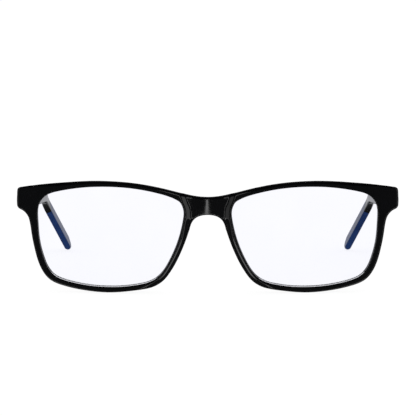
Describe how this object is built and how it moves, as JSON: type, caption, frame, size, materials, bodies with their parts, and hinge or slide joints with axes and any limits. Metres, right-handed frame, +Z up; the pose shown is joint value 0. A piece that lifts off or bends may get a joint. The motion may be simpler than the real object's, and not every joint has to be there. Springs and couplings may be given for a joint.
{
  "type": "eyeglasses frame",
  "caption": "Full-rim acetate spectacle frame with rectangular clear lenses, nose pads, and two folding temples with ear bends on barrel hinges.",
  "frame": {"origin": "centre of the bounding box at its base, level with the rim bottoms and the temple tips that the frame stands on", "axes": "+Z up, -Y the way the front faces, +X towards the wearer's left, so the wearer's right temple is on the -X side"},
  "size_m": [0.1402, 0.1466, 0.0417],
  "materials": {
    "black_acetate": "high polish",
    "navy_acetate": "high polish",
    "clear_lens": "polished, clear",
    "hinge_metal": "satin",
    "screw_metal": "satin",
    "core_wire": "plain"
  },
  "bodies": {
    "front": {"front_frame": "black_acetate", "lens_left": "clear_lens", "nose_pad_left": "black_acetate", "hinge_front_leaf_left": "hinge_metal", "hinge_screw_left": "screw_metal", "front_leaf_screws_left": "screw_metal", "lens_right": "clear_lens", "nose_pad_right": "black_acetate", "hinge_front_leaf_right": "hinge_metal", "hinge_screw_right": "screw_metal", "front_leaf_screws_right": "screw_metal"},
    "temple_left": {"hinge_temple_leaf_left": "hinge_metal", "temple_leaf_screws_left": "screw_metal", "temple_arm_left": "black_acetate", "temple_core_left": "core_wire", "temple_tip_left": "navy_acetate"},
    "temple_right": {"hinge_temple_leaf_right": "hinge_metal", "temple_leaf_screws_right": "screw_metal", "temple_arm_right": "black_acetate", "temple_core_right": "core_wire", "temple_tip_right": "navy_acetate"}
  },
  "joints": [
    {"name": "fold_left", "type": "hinge", "parent": "front", "child": "temple_left", "pos_m": [0.0645, -0.05585, 0.03309], "axis": [0, 0.0715, 0.9974], "range_deg": [0, 88]},
    {"name": "fold_right", "type": "hinge", "parent": "front", "child": "temple_right", "pos_m": [-0.0645, -0.05585, 0.03309], "axis": [0, 0.0715, 0.9974], "range_deg": [-72, 0]}
  ]
}
